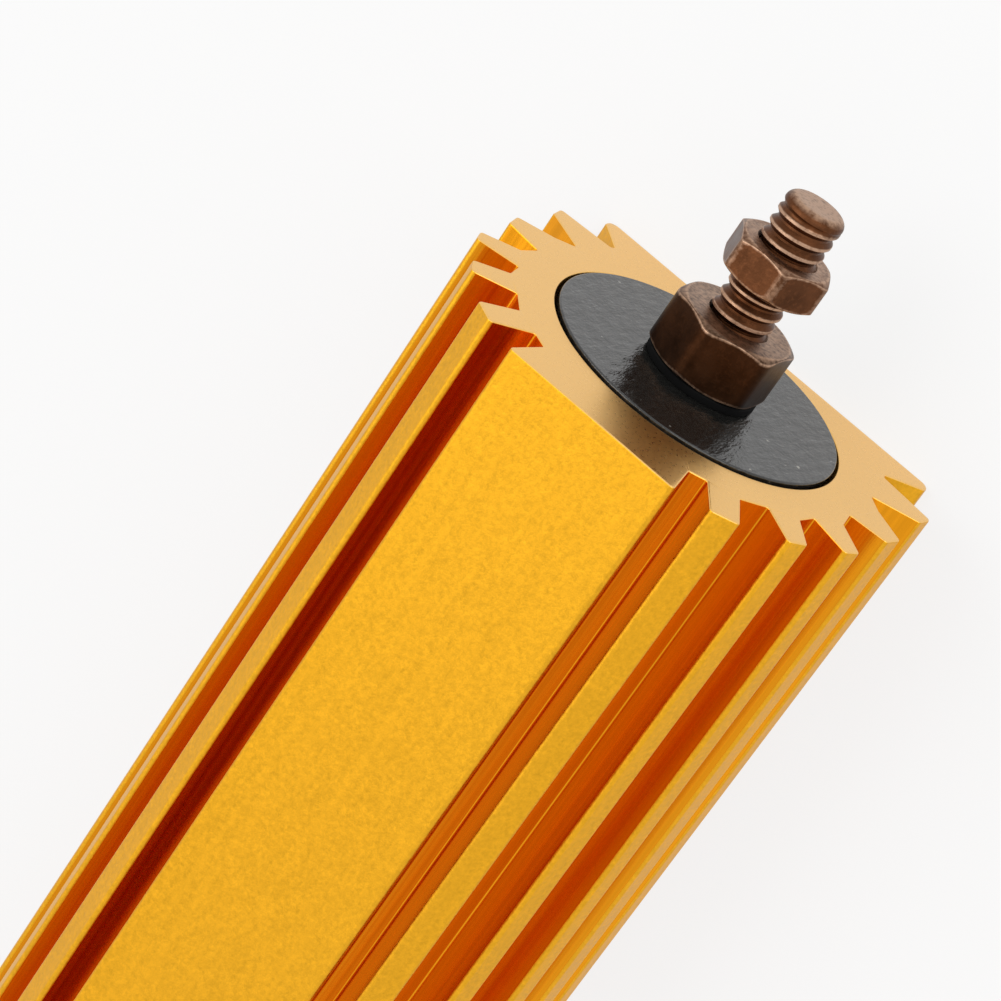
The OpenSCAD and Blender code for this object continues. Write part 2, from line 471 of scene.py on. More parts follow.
class Nodes:
    """Short hand for building one material's node tree."""

    def __init__(self, name):
        self.material = bpy.data.materials.new(name)
        self.material.use_nodes = True
        self.tree = self.material.node_tree
        self.tree.nodes.clear()
        self.shader = self.add("ShaderNodeBsdfPrincipled")
        self.output = self.add("ShaderNodeOutputMaterial")
        self.link(self.shader.outputs["BSDF"], self.output.inputs["Surface"])
        self.coords = self.add("ShaderNodeTexCoord").outputs["Object"]

    def add(self, kind, **settings):
        node = self.tree.nodes.new(kind)
        for key, value in settings.items():
            setattr(node, key, value)
        return node

    def link(self, source, target):
        self.tree.links.new(source, target)

    def set(self, **values):
        for key, value in values.items():
            self.shader.inputs[key.replace("_", " ")].default_value = value

    def stretched(self, scale):
        mapping = self.add("ShaderNodeMapping")
        mapping.inputs["Scale"].default_value = scale
        self.link(self.coords, mapping.inputs["Vector"])
        return mapping.outputs["Vector"]

    def noise(self, scale, detail=3.0, roughness=0.55, vector=None):
        node = self.add("ShaderNodeTexNoise")
        node.inputs["Scale"].default_value = scale
        node.inputs["Detail"].default_value = detail
        node.inputs["Roughness"].default_value = roughness
        self.link(vector or self.coords, node.inputs["Vector"])
        return node.outputs["Fac"]

    def span(self, value, low, high, to_low, to_high):
        node = self.add("ShaderNodeMapRange")
        for key, number in (
            ("From Min", low),
            ("From Max", high),
            ("To Min", to_low),
            ("To Max", to_high),
        ):
            node.inputs[key].default_value = number
        self.link(value, node.inputs["Value"])
        return node.outputs["Result"]

    def math(self, kind, a, b):
        node = self.add("ShaderNodeMath", operation=kind)
        for socket, value in zip(node.inputs, (a, b)):
            if isinstance(value, (int, float)):
                socket.default_value = value
            else:
                self.link(value, socket)
        return node.outputs["Value"]

    def mix(self, factor, a, b, blend="MIX"):
        node = self.add("ShaderNodeMix", data_type="RGBA", blend_type=blend)
        if isinstance(factor, (int, float)):
            node.inputs["Factor"].default_value = factor
        else:
            self.link(factor, node.inputs["Factor"])
        for key, value in (("A", a), ("B", b)):
            socket = [s for s in node.inputs if s.name == key and s.type == "RGBA"][0]
            if isinstance(value, bpy.types.NodeSocket):
                self.link(value, socket)
            else:
                socket.default_value = (*value, 1.0)
        return [s for s in node.outputs if s.type == "RGBA"][0]

    def bump(self, height, strength, distance, normal=None):
        node = self.add("ShaderNodeBump")
        node.inputs["Strength"].default_value = strength
        node.inputs["Distance"].default_value = distance
        self.link(height, node.inputs["Height"])
        if normal is not None:
            self.link(normal, node.inputs["Normal"])
        return node.outputs["Normal"]

    def color(self, value):
        self.link(value, self.shader.inputs["Base Color"])

    def rough(self, value):
        self.link(value, self.shader.inputs["Roughness"])

    def normal(self, value):
        self.link(value, self.shader.inputs["Normal"])


def scaled(color, factor):
    return tuple(min(1.0, c * factor) for c in color)


def extruded_gold(color):
    """Blasted and gold-anodised extrusion, with a fine grain and faint streaks."""
    m = Nodes("gold_anodised_extrusion")
    m.set(Metallic=1.0)
    grain = m.noise(2100, 4.0, 0.75)
    mottle = m.noise(520, 3.0, 0.6)
    streak = m.noise(1.0, 3.0, 0.6, m.stretched((18, 1100, 1100)))
    tone = m.mix(m.span(grain, 0.32, 0.68, 0.0, 1.0), scaled(color, 0.80), scaled(color, 1.14))
    tone = m.mix(m.span(mottle, 0.35, 0.65, 0.0, 0.4), tone, scaled(color, 0.90))
    tone = m.mix(m.span(streak, 0.42, 0.68, 0.0, 0.3), tone, scaled(color, 1.12))
    m.color(tone)
    m.rough(m.span(grain, 0.3, 0.7, 0.34, 0.48))
    fine = m.bump(grain, 0.45, 0.00007)
    m.normal(m.bump(streak, 0.2, 0.0001, fine))
    return m.material


def groove_shade_gold(color):
    """Smooth extruded faces between the fins: glossier, with drawn lines along them, in a deeper, more orange gold that
    is painted shade and painted reflection between the fins.
    """
    m = Nodes("gold_anodised_groove_painted_shade")
    m.set(Metallic=1.0)
    line = m.noise(1.0, 3.0, 0.6, m.stretched((9, 1500, 1500)))
    grain = m.noise(1500, 3.0, 0.6)
    tone = m.mix(m.span(line, 0.35, 0.65, 0.0, 1.0), scaled(color, 0.88), scaled(color, 1.08))
    m.color(m.mix(m.span(grain, 0.4, 0.7, 0.0, 0.3), tone, scaled(color, 0.9)))
    m.rough(m.span(line, 0.35, 0.65, 0.17, 0.26))
    m.normal(m.bump(line, 0.25, 0.00006))
    return m.material


def cut_gold(color):
    """The sawn and faced ends, smoother and paler than the extruded faces."""
    m = Nodes("gold_anodised_cut_end")
    m.set(Metallic=1.0)
    grain = m.noise(2400, 3.0, 0.6)
    cloud = m.noise(90, 3.0, 0.5)
    tone = m.mix(m.span(grain, 0.3, 0.7, 0.0, 1.0), scaled(color, 0.95), scaled(color, 1.04))
    tone = m.mix(m.span(cloud, 0.35, 0.65, 0.0, 0.3), tone, scaled(color, 0.93))
    m.color(tone)
    m.rough(m.span(grain, 0.3, 0.7, 0.26, 0.34))
    m.normal(m.bump(grain, 0.2, 0.00004))
    return m.material


def cast_seal(color):
    """Cast black compound: glossy, with fine ripples, small pits and pale specks."""
    m = Nodes("black_cast_seal")
    ripple = m.noise(1.0, 3.0, 0.6, m.stretched((900, 1100, 420)))
    pits = m.noise(1500, 4.0, 0.65)
    speck = m.noise(1100, 2.0, 0.5)
    tone = m.mix(m.span(pits, 0.35, 0.7, 0.0, 1.0), scaled(color, 0.7), scaled(color, 1.7))
    # Sparse pale specks over the black compound.
    tone = m.mix(m.span(speck, 0.735, 0.775, 0.0, 1.0), tone, (0.34, 0.33, 0.29))
    m.color(tone)
    m.rough(m.span(ripple, 0.35, 0.65, 0.14, 0.24))
    m.set(IOR=1.6)
    fine = m.bump(pits, 0.35, 0.00010)
    m.normal(m.bump(ripple, 0.6, 0.00022, fine))
    return m.material


def moulded_washer_shade(color):
    """Dull moulded insulating washer, near black: partly its own black, partly painted shade under the large nut."""
    m = Nodes("black_washer_painted_shade")
    grain = m.noise(1500, 3.0, 0.5)
    m.color(m.mix(m.span(grain, 0.3, 0.7, 0.0, 1.0), scaled(color, 0.7), scaled(color, 1.2)))
    m.rough(m.span(grain, 0.3, 0.7, 0.75, 0.9))
    m.set(Specular_IOR_Level=0.1)
    m.normal(m.bump(grain, 0.15, 0.00005))
    return m.material


def dark_bronze(color, worn):
    """Darkened bronze plating: satin and blotchy, pale on its marked edges and end faces, partly rubbed plating and
    partly painted highlight.
    """
    m = Nodes("dark_bronze_plating")
    m.set(Metallic=1.0)
    blotch = m.noise(330, 4.0, 0.6)
    grain = m.noise(1900, 3.0, 0.65)
    tone = m.mix(m.span(blotch, 0.3, 0.7, 0.0, 1.0), scaled(color, 0.62), scaled(color, 1.35))
    tone = m.mix(m.span(grain, 0.5, 0.75, 0.0, 0.5), tone, scaled(color, 1.9))
    # Marked edges turn pale: partly rubbed plating, partly painted highlight.
    rub_and_highlight = m.add("ShaderNodeAttribute", attribute_name="wear_and_highlight").outputs["Fac"]
    ragged = m.math("MULTIPLY", rub_and_highlight, m.span(grain, 0.3, 0.6, 0.55, 1.15))
    edge = m.span(ragged, 0.25, 0.95, 0.0, 0.85)
    m.color(m.mix(edge, tone, worn))
    m.rough(m.span(blotch, 0.3, 0.7, 0.34, 0.46))
    m.normal(m.bump(grain, 0.3, 0.00007))
    return m.material


def plain_finish(name, color, metallic, rough_low, rough_high, scale, strength):
    """A quiet finish for the pieces inside the bore."""
    m = Nodes(name)
    m.set(Metallic=metallic)
    grain = m.noise(scale, 4.0, 0.6)
    m.color(m.mix(m.span(grain, 0.3, 0.7, 0.0, 1.0), scaled(color, 0.86), scaled(color, 1.08)))
    m.rough(m.span(grain, 0.3, 0.7, rough_low, rough_high))
    m.normal(m.bump(grain, strength, 0.0001))
    return m.material


# ---------------------------------------------------------------------------
# Housing
# ---------------------------------------------------------------------------


def section_corners(s):
    """Right half of the section, from the top flat to the base, in millimetres
    about the bore's axis: across, up, rounding."""
    groove = BORE_RADIUS / MM + s.bore_wall / MM
    drop = 5.0
    tip, foot = s.tip_round / MM, s.groove_round / MM

    def polar(degrees):
        a = math.radians(degrees)
        return Vector((math.cos(a), math.sin(a)))

    def root_reach(angle):
        a = math.radians(angle)
        return drop * math.sin(a) + math.sqrt(groove**2 - (drop * math.cos(a)) ** 2)

    centre = Vector((0, -drop))
    top_foot = 8.9
    corners = [
        (10.0, groove + s.top_rise / MM, tip),
        (top_foot, math.sqrt(groove**2 - top_foot**2), foot),
    ]
    for angle, rise, tip_width, root_width, lean in FINS:
        reach = root_reach(angle)

        def root(side):
            return centre + reach * polar(angle) + side * root_width / 2 * polar(angle + 90)

        def end(side):
            along = centre + (reach + rise) * polar(angle)
            return along + side * tip_width / 2 * polar(angle + 90 + lean)

        corners += [
            (*root(1), foot),
            (*end(1), tip),
            (*end(-1), tip),
            (*root(-1), foot),
        ]
    last = Vector(corners[-1][:2])
    base = -BORE_HEIGHT / MM
    corners += [
        (last.x - 0.2, last.y - 0.6, foot),
        (21.0, base + 1.5, tip),
        (21.0, base, 1.0),
    ]
    return corners


def section_ring(s, steps=6):
    """Points round the section in metres, each with its outward normal and
    whether the outline that follows it lies in a groove."""
    half = section_corners(s)
    corners = half + [(-x, z, r) for x, z, r in reversed(half)]
    foot = s.groove_round / MM
    shoulder = -BORE_HEIGHT / MM + 2.0
    ring = []
    count = len(corners)
    for i, (x, z, rounding) in enumerate(corners):
        here = Vector((x, z))
        follower = corners[(i + 1) % count]
        last = (Vector(corners[i - 1][:2]) - here).normalized()
        nxt = (Vector(follower[:2]) - here).normalized()
        half_angle = last.angle(nxt) / 2
        centre = here + (last + nxt).normalized() * rounding / math.sin(half_angle)
        reach = rounding / math.tan(half_angle)
        start = here + last * reach - centre
        end = here + nxt * reach - centre
        sweep = math.atan2(start.x * end.y - start.y * end.x, start.dot(end))
        outward = 1.0 if sweep < 0 else -1.0
        angle = math.atan2(start.y, start.x)
        in_groove = rounding <= foot
        edge_in_groove = min(rounding, follower[2]) <= foot and min(z, follower[1]) > shoulder
        for k in range(steps + 1):
            a = angle + sweep * k / steps
            way = Vector((math.cos(a), math.sin(a)))
            inside = in_groove if k < steps else edge_in_groove
            ring.append(((centre + rounding * way) * MM, way * outward, inside))
    return ring


def end_stations(length, edge, steps=3):
    """(place along the bore, how far the outline has drawn in) of every ring."""
    half = length / 2
    turn = [math.pi / 2 * k / steps for k in range(steps + 1)]
    right = [(half - edge + edge * math.sin(a), edge * (1 - math.cos(a))) for a in turn]
    return [(-x, inset) for x, inset in reversed(right)] + right


EXTRUDED, CUT_END, GROOVE = range(3)


def build_housing_mesh(s):
    """The finned extrusion with broken edges at both ends and tapped base holes."""
    bm = bmesh.new()
    ring = section_ring(s)
    stations = end_stations(s.length, s.edge_break)
    outer = []
    for x, inset in stations:
        outer.append(
            [
                bm.verts.new((x, p.x - n.x * inset, BORE_HEIGHT + p.y - n.y * inset))
                for p, n, _ in ring
            ]
        )
    count = len(ring)
    base_start = max(
        range(count), key=lambda i: (ring[i][0] - ring[(i + 1) % count][0]).length
        if abs(ring[i][1].y + 1) < 1e-6 and abs(ring[(i + 1) % count][1].y + 1) < 1e-6
        else 0.0
    )
    middle = len(stations) // 2 - 1
    for j in range(len(stations) - 1):
        for i in range(count):
            if j == middle and i == base_start:
                continue
            k = (i + 1) % count
            face = bm.faces.new((outer[j][i], outer[j + 1][i], outer[j + 1][k], outer[j][k]))
            # Fin walls and groove floors take the deeper gold: painted shade between the fins.
            face.material_index = GROOVE if ring[i][2] else EXTRUDED
    segments = 128
    bore = []
    for x, inset in stations:
        r = BORE_RADIUS + inset
        bore.append(
            [
                bm.verts.new(
                    (
                        x,
                        r * math.cos(math.tau * i / segments),
                        BORE_HEIGHT + r * math.sin(math.tau * i / segments),
                    )
                )
                for i in range(segments)
            ]
        )
    for j in range(len(stations) - 1):
        for i in range(segments):
            k = (i + 1) % segments
            bm.faces.new((bore[j][i], bore[j][k], bore[j + 1][k], bore[j + 1][i]))
    fill_holed_base(bm, s, outer, middle, base_start)
    for j in (0, len(stations) - 1):
        edges = []
        for loop in (outer[j], bore[j]):
            for i, vert in enumerate(loop):
                edges.append(bm.edges.get((vert, loop[(i + 1) % len(loop)])))
        made = bmesh.ops.triangle_fill(bm, use_beauty=True, use_dissolve=False, edges=edges)
        for face in made["geom"]:
            if isinstance(face, bmesh.types.BMFace):
                face.material_index = CUT_END
    bmesh.ops.recalc_face_normals(bm, faces=bm.faces)
    half = s.length / 2
    for face in bm.faces:
        if min(abs(v.co.x) for v in face.verts) > half - s.edge_break * 0.7:
            face.material_index = CUT_END
    return bm_to_mesh(bm, "housing_shell")


def fill_holed_base(bm, s, outer, middle, start):
    """The base flat with four blind holes, each with a broken edge and a drill point."""
    count = len(outer[middle])
    loop = [
        outer[middle][start],
        outer[middle + 1][start],
        outer[middle + 1][(start + 1) % count],
        outer[middle][(start + 1) % count],
    ]
    edges = [bm.edges.get((loop[i], loop[(i + 1) % 4])) or bm.edges.new((loop[i], loop[(i + 1) % 4])) for i in range(4)]
    segments = 32
    rim = 0.35 * MM
    point = s.hole_radius / math.tan(math.radians(59))
    for x in (-s.hole_spacing_x / 2, s.hole_spacing_x / 2):
        for y in (-s.hole_spacing_y / 2, s.hole_spacing_y / 2):
            rings = []
            for r, z in (
                (s.hole_radius + rim, 0.0),
                (s.hole_radius, rim),
                (s.hole_radius, s.hole_depth),
            ):
                rings.append(
                    [
                        bm.verts.new(
                            (
                                x + r * math.cos(math.tau * i / segments),
                                y + r * math.sin(math.tau * i / segments),
                                z,
                            )
                        )
                        for i in range(segments)
                    ]
                )
            tip = bm.verts.new((x, y, s.hole_depth + point))
            for a, b in zip(rings, rings[1:]):
                for i in range(segments):
                    k = (i + 1) % segments
                    bm.faces.new((a[i], a[k], b[k], b[i]))
            for i in range(segments):
                bm.faces.new((rings[-1][i], rings[-1][(i + 1) % segments], tip))
            for i in range(segments):
                edges.append(bm.edges.get((rings[0][i], rings[0][(i + 1) % segments])))
    bmesh.ops.triangle_fill(bm, use_beauty=True, use_dissolve=False, edges=edges)


class RESISTOR_OT_housing(bpy.types.Operator):
    """Build the finned, gold-anodised housing"""

    bl_idname = "resistor.housing"
    bl_label = "Housing"

    def execute(self, context):
        s = context.scene.resistor_housing
        piece = add_object("Finned_Housing", build_housing_mesh(s))
        piece.data.materials.append(extruded_gold(s.extruded_color))
        piece.data.materials.append(cut_gold(s.cut_color))
        piece.data.materials.append(groove_shade_gold(s.groove_shade_color))
        shade(piece)
        finish_piece(piece, "gold_anodised", "housing")
        return {"FINISHED"}


# ---------------------------------------------------------------------------
# Seals and washers
# ---------------------------------------------------------------------------


class RESISTOR_OT_seals(bpy.types.Operator):
    """Build the black end seals and the insulating washers on them"""

    bl_idname = "resistor.seals"
    bl_label = "Seals and Washers"

    def execute(self, context):
        s = context.scene.resistor_seal
        black = cast_seal(s.color)
        washer_shade_black = moulded_washer_shade(s.washer_shade_color)
        rim = (SEAL_HIGH.y - SEAL_LOW.y) / 2
        edge = (WASHER_HIGH.y - WASHER_LOW.y) / 2
        hole = STUD_RADIUS
        seal = rounded_profile(
            [
                (SEAL_LOW.x, hole, 0),
                (SEAL_LOW.x, rim, 0),
                (SEAL_HIGH.x, rim, s.rim_round),
                (SEAL_HIGH.x, hole, 0),
            ]
        )
        washer = rounded_profile(
            [
                (WASHER_LOW.x, hole, 0),
                (WASHER_LOW.x, edge, 0.12 * MM),
                (WASHER_HIGH.x, edge, 0.2 * MM),
                (WASHER_HIGH.x, hole, 0),
            ]
        )
        for end, rear in (("front", False), ("rear", True)):
            turned_piece(
                f"End_Seal_{end}", seal, black, "black_seal", f"end_seal_{end}", rear, 160
            )
            turned_piece(
                f"Insulating_Washer_{end}",
                washer,
                washer_shade_black,
                "black_washer",
                f"insulating_washer_{end}",
                rear,
            )
        return {"FINISHED"}


# ---------------------------------------------------------------------------
# Studs and nuts
# ---------------------------------------------------------------------------


THREAD_SEGMENTS = 72


def thread_tree():
    """Geometry Nodes tree for a single-start outside thread along +X.

    A grid is wrapped round the axis. Its rows follow the helix, so every crest
    and root is a true edge line."""
    tree = bpy.data.node_groups.new("Stud Thread", "GeometryNodeTree")
    face = tree.interface
    face.new_socket("Geometry", in_out="OUTPUT", socket_type="NodeSocketGeometry")
    face.new_socket("Geometry", in_out="INPUT", socket_type="NodeSocketGeometry")
    sizes = (
        ("Start", 0.08),
        ("End", 0.0975),
        ("Pitch", 0.00127),
        ("Crest Radius", 0.003175),
        ("Root Radius", 0.0027),
        ("Runout", 0.0007),
        ("Axis Height", BORE_HEIGHT),
    )
    for name, value in sizes:
        socket = face.new_socket(name, in_out="INPUT", socket_type="NodeSocketFloat")
        socket.default_value = value
    face.new_socket("Material", in_out="INPUT", socket_type="NodeSocketMaterial")
    nodes, links = tree.nodes, tree.links
    group_in = nodes.new("NodeGroupInput")
    group_out = nodes.new("NodeGroupOutput")

    def value(x):
        return x if not isinstance(x, str) else group_in.outputs[x]

    def calc(kind, a, b=0.0, c=None):
        node = nodes.new("ShaderNodeMath")
        node.operation = kind
        for socket, x in zip(node.inputs, (a, b, c)):
            if x is None:
                continue
            x = value(x)
            if isinstance(x, (int, float)):
                socket.default_value = x
            else:
                links.new(x, socket)
        return node.outputs["Value"]

    around = THREAD_SEGMENTS
    per_turn = 12
    length = calc("SUBTRACT", "End", "Start")
    turns = calc("CEIL", calc("DIVIDE", length, "Pitch"))
    rows = calc("ADD", calc("MULTIPLY", calc("ADD", turns, 1.0), per_turn), 1.0)
    grid = nodes.new("GeometryNodeMeshGrid")
    grid.inputs["Vertices X"].default_value = around + 1
    links.new(rows, grid.inputs["Vertices Y"])
    index = nodes.new("GeometryNodeInputIndex").outputs["Index"]
    column = calc("FLOOR", calc("DIVIDE", calc("ADD", index, 0.5), rows))
    row = calc("SUBTRACT", index, calc("MULTIPLY", column, rows))
    turn = calc("DIVIDE", column, float(around))
    angle = calc("MULTIPLY", turn, math.tau)
    phase = calc("DIVIDE", row, float(per_turn))
    along = calc("MULTIPLY", calc("SUBTRACT", calc("ADD", phase, turn), 1.0), "Pitch")
    place = calc("MINIMUM", calc("MAXIMUM", calc("ADD", along, "Start"), "Start"), "End")
    # Thread form over one pitch: root flat, flank, crest flat, flank.
    wave = calc("ABSOLUTE", calc("SUBTRACT", calc("FRACT", phase), 0.5))
    form = nodes.new("ShaderNodeMapRange")
    form.interpolation_type = "LINEAR"
    links.new(wave, form.inputs["Value"])
    form.inputs["From Min"].default_value = 1 / 12
    form.inputs["From Max"].default_value = 5 / 12
    depth = calc("SUBTRACT", "Crest Radius", "Root Radius")
    # The groove runs out before it reaches the plain rounded tip.
    faded = calc("MINIMUM", calc("DIVIDE", calc("SUBTRACT", "End", place), "Runout"), 1.0)
    form.inputs["To Min"].default_value = 0.0
    links.new(calc("MULTIPLY", depth, faded), form.inputs["To Max"])
    cut_in = calc("SUBTRACT", "Crest Radius", form.outputs["Result"])
    lead = calc("ADD", calc("SUBTRACT", place, "Start"), calc("SUBTRACT", "Root Radius", 0.0002))
    radius = calc("MINIMUM", cut_in, lead)
    combine = nodes.new("ShaderNodeCombineXYZ")
    links.new(place, combine.inputs["X"])
    links.new(calc("MULTIPLY", radius, calc("COSINE", angle)), combine.inputs["Y"])
    links.new(
        calc("ADD", calc("MULTIPLY", radius, calc("SINE", angle)), "Axis Height"),
        combine.inputs["Z"],
    )
    # Thread crests marked pale, fading where the thread runs out: partly rubbed plating, partly painted highlight.
    wear_and_highlight = nodes.new("ShaderNodeMapRange")
    links.new(radius, wear_and_highlight.inputs["Value"])
    links.new(calc("SUBTRACT", "Crest Radius", 0.00012), wear_and_highlight.inputs["From Min"])
    links.new(group_in.outputs["Crest Radius"], wear_and_highlight.inputs["From Max"])
    rubbed = calc("MULTIPLY", wear_and_highlight.outputs["Result"], faded)
    store = nodes.new("GeometryNodeStoreNamedAttribute")
    store.data_type = "FLOAT"
    store.domain = "POINT"
    store.inputs["Name"].default_value = "wear_and_highlight"
    links.new(grid.outputs["Mesh"], store.inputs["Geometry"])
    links.new(rubbed, store.inputs["Value"])
    move = nodes.new("GeometryNodeSetPosition")
    links.new(store.outputs["Geometry"], move.inputs["Geometry"])
    links.new(combine.outputs["Vector"], move.inputs["Position"])
    join = nodes.new("GeometryNodeJoinGeometry")
    merge = nodes.new("GeometryNodeMergeByDistance")
    merge.inputs["Distance"].default_value = 2e-6
    links.new(move.outputs["Geometry"], join.inputs["Geometry"])
    links.new(group_in.outputs["Geometry"], join.inputs["Geometry"])
    links.new(join.outputs["Geometry"], merge.inputs["Geometry"])
    realize = nodes.new("GeometryNodeRealizeInstances")
    links.new(merge.outputs["Geometry"], realize.inputs["Geometry"])
    paint = nodes.new("GeometryNodeSetMaterial")
    links.new(realize.outputs["Geometry"], paint.inputs["Geometry"])
    links.new(group_in.outputs["Material"], paint.inputs["Material"])
    links.new(paint.outputs["Geometry"], group_out.inputs["Geometry"])
    return tree


def run_tree(name, base_mesh, tree, inputs):
    """Evaluates a Geometry Nodes tree on a mesh and keeps the plain result."""
    source = add_object(name + "_source", base_mesh)
    modifier = source.modifiers.new("Rule", "NODES")
    modifier.node_group = tree
    for socket in tree.interface.items_tree:
        if socket.item_type == "SOCKET" and socket.name in inputs:
            modifier[socket.identifier] = inputs[socket.name]
    depsgraph = bpy.context.evaluated_depsgraph_get()
    result = bpy.data.meshes.new_from_object(source.evaluated_get(depsgraph))
    result.name = name
    source.modifiers.remove(modifier)
    bpy.data.objects.remove(source)
    return result


def stud_ends_mesh(thread_start, thread_end, root_radius, tip_round):
    """The two ends that the thread joins: head with plain shank, and rounded tip."""
    head = CORE_HIGH.x
    head_radius = (STUD_HIGH.y - STUD_LOW.y) / 2
    head_face = head + 2.0 * MM
    shank = [
        (head, 0.0),
        (head, head_radius),
        (head_face, head_radius),
        (head_face, STUD_RADIUS),
        (thread_start, STUD_RADIUS),
        (thread_start, root_radius - 0.2 * MM),
    ]
    face_radius = STUD_RADIUS - tip_round
    tip = []
    steps = 8
    for k in range(steps + 1):
        a = math.pi / 2 * k / steps
        tip.append((thread_end + tip_round * math.sin(a), face_radius + tip_round * math.cos(a)))
    tip += [(tip[-1][0], face_radius * 0.8), (tip[-1][0], 0.0)]
    bm = bmesh.new()
    wear_and_highlight_layer = bm.verts.layers.float.new("wear_and_highlight")
    lathe(bm, shank, THREAD_SEGMENTS, closed=False)
    lathe(bm, tip, THREAD_SEGMENTS, closed=False)
    # The rounded tip marked pale: partly rubbed plating, partly painted highlight.
    for vert in bm.verts:
        past = (vert.co.x - thread_end) / tip_round
        vert[wear_and_highlight_layer] = min(1.0, max(0.0, past)) ** 2
    return bm_to_mesh(bm, "stud_ends")


def mend_stud(mesh, rear):
    """Joins the stud's parts into one skin and carries it to its own end."""
    bm = bmesh.new()
    bm.from_mesh(mesh)
    bmesh.ops.remove_doubles(bm, verts=bm.verts, dist=2e-6)
    bmesh.ops.recalc_face_normals(bm, faces=bm.faces)
    if rear:
        mirror_to_rear(bm)
    bm.to_mesh(mesh)
    bm.free()


class RESISTOR_OT_studs(bpy.types.Operator):
    """Build the threaded terminal studs"""

    bl_idname = "resistor.studs"
    bl_label = "Terminal Studs"

    def execute(self, context):
        s = context.scene.resistor_terminal
        bronze = dark_bronze(s.color, s.worn_and_highlight_color)
        tree = thread_tree()
        start = WASHER_HIGH.x
        end_of_thread = STUD_HIGH.x - s.chamfer
        for end, rear in (("front", False), ("rear", True)):
            mesh = run_tree(
                f"Terminal_Stud_{end}",
                stud_ends_mesh(start, end_of_thread, s.root_radius, s.chamfer),
                tree,
                {
                    "Start": start,
                    "End": end_of_thread,
                    "Pitch": s.pitch,
                    "Crest Radius": STUD_RADIUS,
                    "Root Radius": s.root_radius,
                    "Runout": 0.7 * MM,
                    "Axis Height": BORE_HEIGHT,
                    "Material": bronze,
                },
            )
            mend_stud(mesh, rear)
            piece = add_object(f"Terminal_Stud_{end}", mesh)
            shade(piece, 25)
            finish_piece(piece, "dark_bronze", f"terminal_stud_{end}")
        return {"FINISHED"}


def hex_outline(flats, turn, corner_round, flat_steps=8, arc_steps=6):
    """Rounded hexagon as (angle, radius, nearness to a corner) all the way round."""
    points = []
    inner = (flats / 2 - corner_round) / math.cos(math.pi / 6)
    for side in range(6):
        corner = turn + side * math.pi / 3
        centre = Vector((math.cos(corner), math.sin(corner))) * inner
        for k in range(arc_steps + 1):
            a = corner + math.pi / 3 * (k / arc_steps - 0.5)
            point = centre + Vector((math.cos(a), math.sin(a))) * corner_round
            points.append((point, 1.0))
        start = points[-1][0]
        following = corner + math.pi / 3
        centre = Vector((math.cos(following), math.sin(following))) * inner
        a = following - math.pi / 6
        end = centre + Vector((math.cos(a), math.sin(a))) * corner_round
        for k in range(1, flat_steps):
            points.append((start.lerp(end, k / flat_steps), 0.0))
    return [(math.atan2(p.y, p.x), p.length, near) for p, near in points]


def nut_mesh(low, high, outline, half_flats, slope, corner_wear_and_highlight):
    """Hexagonal nut: flats cut by a cone at each end, and a countersunk thread.

    A value on its points marks the edges, end faces and chamfers that are painted pale: partly rubbed plating, partly
    painted highlight."""
    bm = bmesh.new()
    wear_and_highlight_layer = bm.verts.layers.float.new("wear_and_highlight")
    thread_radius = 2.95 * MM
    face_radius = half_flats * 0.98
    sink = 0.35 * MM
    roll = 0.12 * MM
    band = 0.22 * MM
    rings = []

    def ring(place, wear_and_highlight, corner_share=0.0):
        """One closed ring: place(outline radius) gives its (depth, radius)."""
        made = []
        for a, outer, near in outline:
            depth, r = place(outer)
            vert = bm.verts.new((depth, r * math.sin(a), BORE_HEIGHT - r * math.cos(a)))
            vert[wear_and_highlight_layer] = max(wear_and_highlight, corner_share * near)
            made.append(vert)
        rings.append(made)

    def cone(outer, share):
        """Point on the end's chamfer, from its inner edge (0) to the flats (1)."""
        width = outer - face_radius
        return share * width * math.tan(slope), face_radius + share * width

    def end(face, inward):
        """Rings from the thread out to the flats at one end of the nut."""

        def at(depth, r):
            return face + inward * depth, r

        def chamfer(share, lift=0.0):
            def place(outer):
                depth, r = cone(outer, share)
                return at(depth + lift, r)
            return place

        def flank(extra):
            def place(outer):
                return at(cone(outer, 1.0)[0] + extra, outer)
            return place

        # The nut's end faces, chamfers and the corners of its flats are marked pale, brightest on their edges: partly
        # rubbed plating, partly painted highlight.
        return (
            (lambda outer: at(sink, thread_radius), 0.0, 0.0),
            (lambda outer: at(0.0, thread_radius + sink), 0.8, 0.0),
            (lambda outer: at(0.0, face_radius - band), 0.65, 0.0),
            (lambda outer: at(0.0, face_radius - roll), 0.8, 0.0),
            (chamfer(0.0, 0.02 * MM), 1.0, 0.0),
            (chamfer(0.3), 0.6, 0.0),
            (chamfer(0.75), 0.4, 0.0),
            (chamfer(0.96, 0.03 * MM), 0.9, 0.0),
            (flank(roll), 0.55, corner_wear_and_highlight),
            (flank(roll + band), 0.0, corner_wear_and_highlight),
        )

    for place, wear_and_highlight, share in end(low, 1.0):
        ring(place, wear_and_highlight, share)
    for place, wear_and_highlight, share in reversed(end(high, -1.0)):
        ring(place, wear_and_highlight, share)
    count = len(outline)
    for a, b in zip(rings, rings[1:] + rings[:1]):
        for i in range(count):
            k = (i + 1) % count
            bm.faces.new((a[i], a[k], b[k], b[i]))
    bmesh.ops.recalc_face_normals(bm, faces=bm.faces)
    return bm


